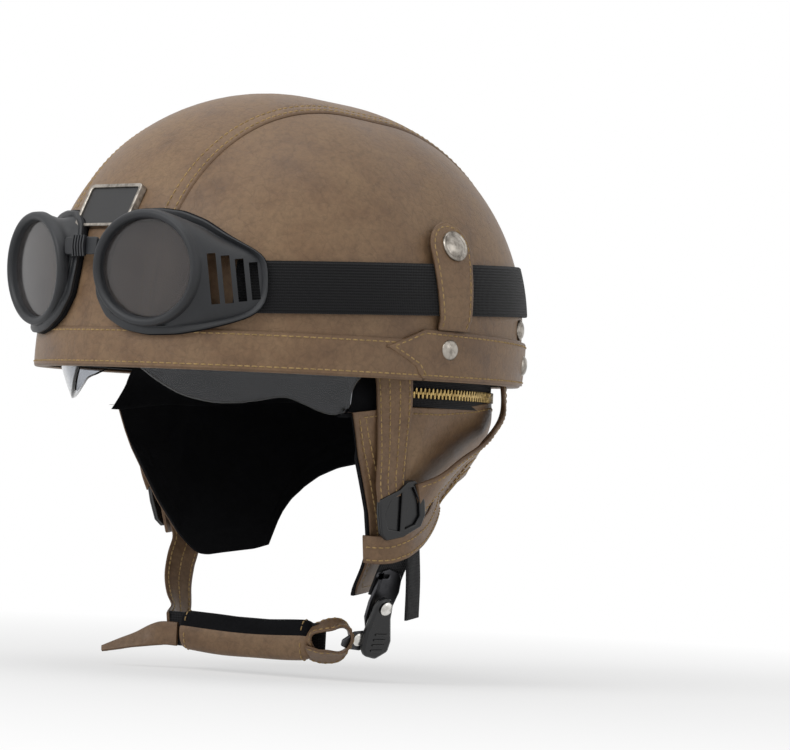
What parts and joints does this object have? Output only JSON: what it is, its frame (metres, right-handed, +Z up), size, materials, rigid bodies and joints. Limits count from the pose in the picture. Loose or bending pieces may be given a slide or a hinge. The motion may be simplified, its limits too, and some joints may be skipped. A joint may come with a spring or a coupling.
{
  "type": "half shell motorcycle helmet",
  "caption": "Leather covered half shell motorcycle helmet with goggles, drop-down sun visor, zip-on neck curtain and a padded chin strap.",
  "frame": {"origin": "centre of the head opening in the plane of the rim", "axes": "+Z up to the crown, -Y to the front of the helmet, +X to the wearer's left"},
  "size_m": [0.245, 0.2755, 0.3059],
  "materials": {
    "shell_black": "satin",
    "foam_black": "matte",
    "fabric_black": "matte",
    "fleece_black": "matte",
    "leather_brown": "satin",
    "nickel": "satin",
    "plastic_black": "matte",
    "visor_smoke": "gloss",
    "rubber_black": "matte",
    "lens_smoke": "gloss",
    "brass": "satin",
    "steel_dark": "satin"
  },
  "bodies": {
    "helmet": {"helmet_shell": "shell_black", "eps_liner": "foam_black", "comfort_liner": "fabric_black", "crown_panel_left": "leather_brown", "crown_panel_right": "leather_brown", "crown_panel_centre": "leather_brown", "front_rim_band": "leather_brown", "rear_rim_band": "leather_brown", "rim_rivets": "nickel", "badge_plate": "nickel", "badge_frame": "nickel", "visor_pivots": "plastic_black", "snap_studs": "nickel", "goggle_strap_rear": "fabric_black", "neck_curtain": "leather_brown", "curtain_lining": "fleece_black", "zip_tape_upper": "fabric_black", "zip_tape_lower": "fabric_black", "zip_teeth_upper": "brass", "zip_teeth_lower": "brass", "left_front_strap": "leather_brown", "right_front_strap": "leather_brown", "left_rear_strap": "leather_brown", "right_rear_strap": "leather_brown", "left_strap_divider": "plastic_black", "right_strap_divider": "plastic_black", "left_strap_keeper": "leather_brown", "right_strap_keeper": "leather_brown", "buckle_webbing": "fabric_black", "buckle_housing": "steel_dark", "buckle_rivet": "nickel"},
    "visor": {"sun_visor": "visor_smoke"},
    "goggles": {"goggle_frame": "rubber_black", "goggle_lens_left": "lens_smoke", "goggle_lens_right": "lens_smoke", "goggle_cushions": "foam_black", "goggle_strap_left": "fabric_black", "goggle_strap_right": "fabric_black"},
    "left_tab_body": {"left_tab": "leather_brown", "left_snap_cap": "nickel"},
    "right_tab_body": {"right_tab": "leather_brown", "right_snap_cap": "nickel"},
    "rear_tab_body": {"rear_tab": "leather_brown", "rear_snap_cap": "nickel"},
    "slider": {"zip_slider": "brass"},
    "slider_pull": {"zip_pull": "brass"},
    "lever": {"buckle_lever": "plastic_black"},
    "chin_strap": {"buckle_tongue": "steel_dark", "chin_strap_hanger": "fabric_black", "chin_strap_band": "fabric_black", "chin_strap_loop": "leather_brown", "chin_strap_tail": "leather_brown"},
    "chin_pad": {"chin_pad_sleeve": "leather_brown", "chin_pad_fleece": "fleece_black"}
  },
  "joints": [
    {"name": "visor_tilt", "type": "hinge", "parent": "helmet", "child": "visor", "pos_m": [0, -0.01029, 0.02986], "axis": [1, 0, 0], "range_deg": [0, 18]},
    {"name": "goggles_pull", "type": "slide", "parent": "helmet", "child": "goggles", "axis": [0, -1, 0], "range_m": [0, 0.03]},
    {"name": "left_tab_fold", "type": "hinge", "parent": "helmet", "child": "left_tab_body", "pos_m": [0.1196, 0.016, 0.0257], "axis": [0, 1, 0], "range_deg": [0, 90]},
    {"name": "right_tab_fold", "type": "hinge", "parent": "helmet", "child": "right_tab_body", "pos_m": [-0.1196, 0.016, 0.0257], "axis": [0, -1, 0], "range_deg": [0, 90]},
    {"name": "rear_tab_fold", "type": "hinge", "parent": "helmet", "child": "rear_tab_body", "pos_m": [0, 0.1341, 0.0257], "axis": [-1, 0, 0], "range_deg": [0, 90]},
    {"name": "zip_slide", "type": "hinge", "parent": "helmet", "child": "slider", "pos_m": [0, 0.02, 0], "axis": [0, 0, 1], "range_deg": [-190, 0]},
    {"name": "zip_pull_swing", "type": "hinge", "parent": "slider", "child": "slider_pull", "pos_m": [-0.10226, 0.01105, -0.0077], "axis": [0, 0, 1], "range_deg": [0, 80]},
    {"name": "buckle_lever_turn", "type": "hinge", "parent": "helmet", "child": "lever", "pos_m": [0.081, 0.0092, -0.1182], "axis": [0.9336, 0, -0.3584], "range_deg": [0, 45]},
    {"name": "chin_strap_open", "type": "hinge", "parent": "helmet", "child": "chin_strap", "pos_m": [-0.0995, 0.007, -0.074], "axis": [0, 1, 0], "range_deg": [0, 60]},
    {"name": "chin_pad_slide", "type": "slide", "parent": "chin_strap", "child": "chin_pad", "axis": [-0.9635, -0.2674, 0.012], "range_m": [-0.0065, 0.0065]}
  ]
}
